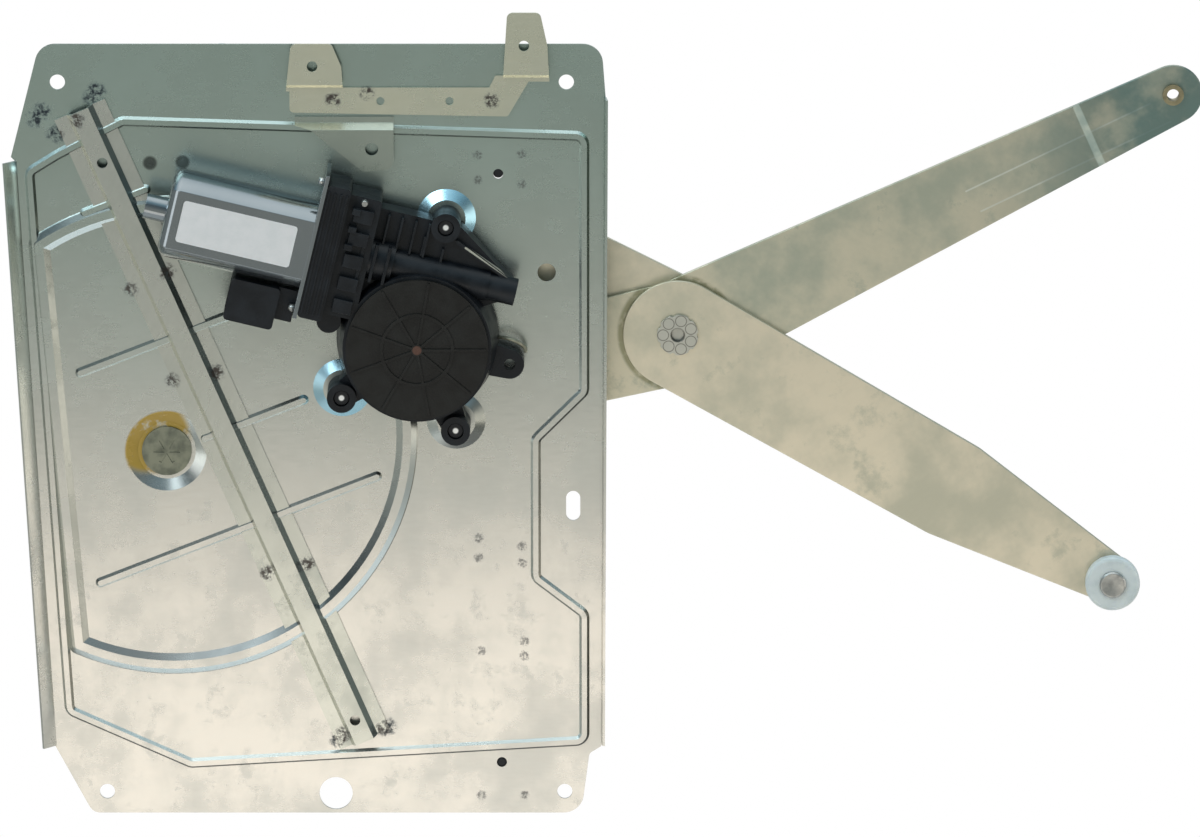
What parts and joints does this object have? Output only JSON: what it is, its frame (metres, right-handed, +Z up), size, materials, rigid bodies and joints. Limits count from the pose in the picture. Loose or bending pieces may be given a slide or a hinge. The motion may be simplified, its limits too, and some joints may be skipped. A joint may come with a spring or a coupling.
{
  "type": "window regulator",
  "caption": "Motor-driven cross-arm window regulator: beaded sheet-metal carrier, sector gear, scissor arms with rollers.",
  "frame": {"origin": "midway between the two lower fixing holes, on the front face of the carrier sheet", "axes": "+X along the door towards the arms, +Z up, -Y towards the side that carries the motor"},
  "size_m": [0.5889, 0.0588, 0.406],
  "materials": {
    "zinc_sheet": "galvanised sheet, satin, spangled",
    "zinc_arm": "galvanised strip, dull",
    "zinc_bright": "bright zinc plate",
    "steel": "turned steel",
    "gear_steel": "stamped steel, oiled",
    "black_moulding": "black glass-filled nylon",
    "white_nylon": "natural acetal",
    "brass": "brass",
    "ferrite": "sintered ferrite",
    "bronze": "sintered bronze"
  },
  "bodies": {
    "carrier": {"carrier_sheet": "zinc_sheet", "hat_rail": "zinc_arm", "top_bracket": "zinc_sheet", "hanging_ear": "zinc_sheet", "main_pivot_stud": "steel", "main_pivot_washer": "steel", "motor_can": "zinc_bright", "motor_flange": "zinc_bright", "field_magnets": "ferrite", "armature_bearings": "bronze", "gearbox_housing": "black_moulding", "gearbox_cover": "black_moulding", "gearbox_screws": "steel", "connector_shell": "black_moulding", "terminal_blades": "brass"},
    "main_arm": {"main_arm": "zinc_arm", "sector_gear": "gear_steel", "sector_rivets": "steel", "main_arm_bush": "brass"},
    "cross_arm": {"cross_arm_front": "zinc_arm", "cross_arm_rear": "zinc_arm", "cross_pivot_rivet": "steel", "front_roller_pin": "steel", "rear_roller_pin": "steel"},
    "drive": {"pinion": "gear_steel", "output_shaft": "gear_steel", "worm_wheel": "white_nylon"},
    "armature": {"armature": "steel"},
    "front_roller": {"front_roller": "white_nylon"},
    "rear_roller": {"rear_roller": "white_nylon"}
  },
  "joints": [
    {"name": "main_arm_swing", "type": "hinge", "parent": "carrier", "child": "main_arm", "pos_m": [-0.08275, 0.00725, 0.1735], "axis": [0, -1, 0], "range_deg": [-18, 25]},
    {"name": "cross_arm_fold", "type": "hinge", "parent": "main_arm", "child": "cross_arm", "pos_m": [0.16956, 0.00725, 0.23198], "axis": [0, -1, 0], "range_deg": [-50, 36]},
    {"name": "drive_spin", "type": "hinge", "parent": "carrier", "child": "drive", "pos_m": [0.04156, 0.00385, 0.23226], "axis": [0, -1, 0], "range_deg": [-250, 180]},
    {"name": "armature_spin", "type": "hinge", "parent": "carrier", "child": "armature", "pos_m": [-0.04625, -0.0205, 0.2912], "axis": [0.9724, 0, -0.2334], "continuous": true},
    {"name": "front_roller_spin", "type": "hinge", "parent": "cross_arm", "child": "front_roller", "pos_m": [0.38498, -0.001, 0.10711], "axis": [0, -1, 0], "continuous": true},
    {"name": "rear_roller_spin", "type": "hinge", "parent": "cross_arm", "child": "rear_roller", "pos_m": [-0.05451, 0.015, 0.36187], "axis": [0, -1, 0], "continuous": true}
  ],
  "couplings": [
    {"joint": "cross_arm_fold", "follows": "main_arm_swing", "ratio": -2},
    {"joint": "drive_spin", "follows": "main_arm_swing", "ratio": -10}
  ]
}
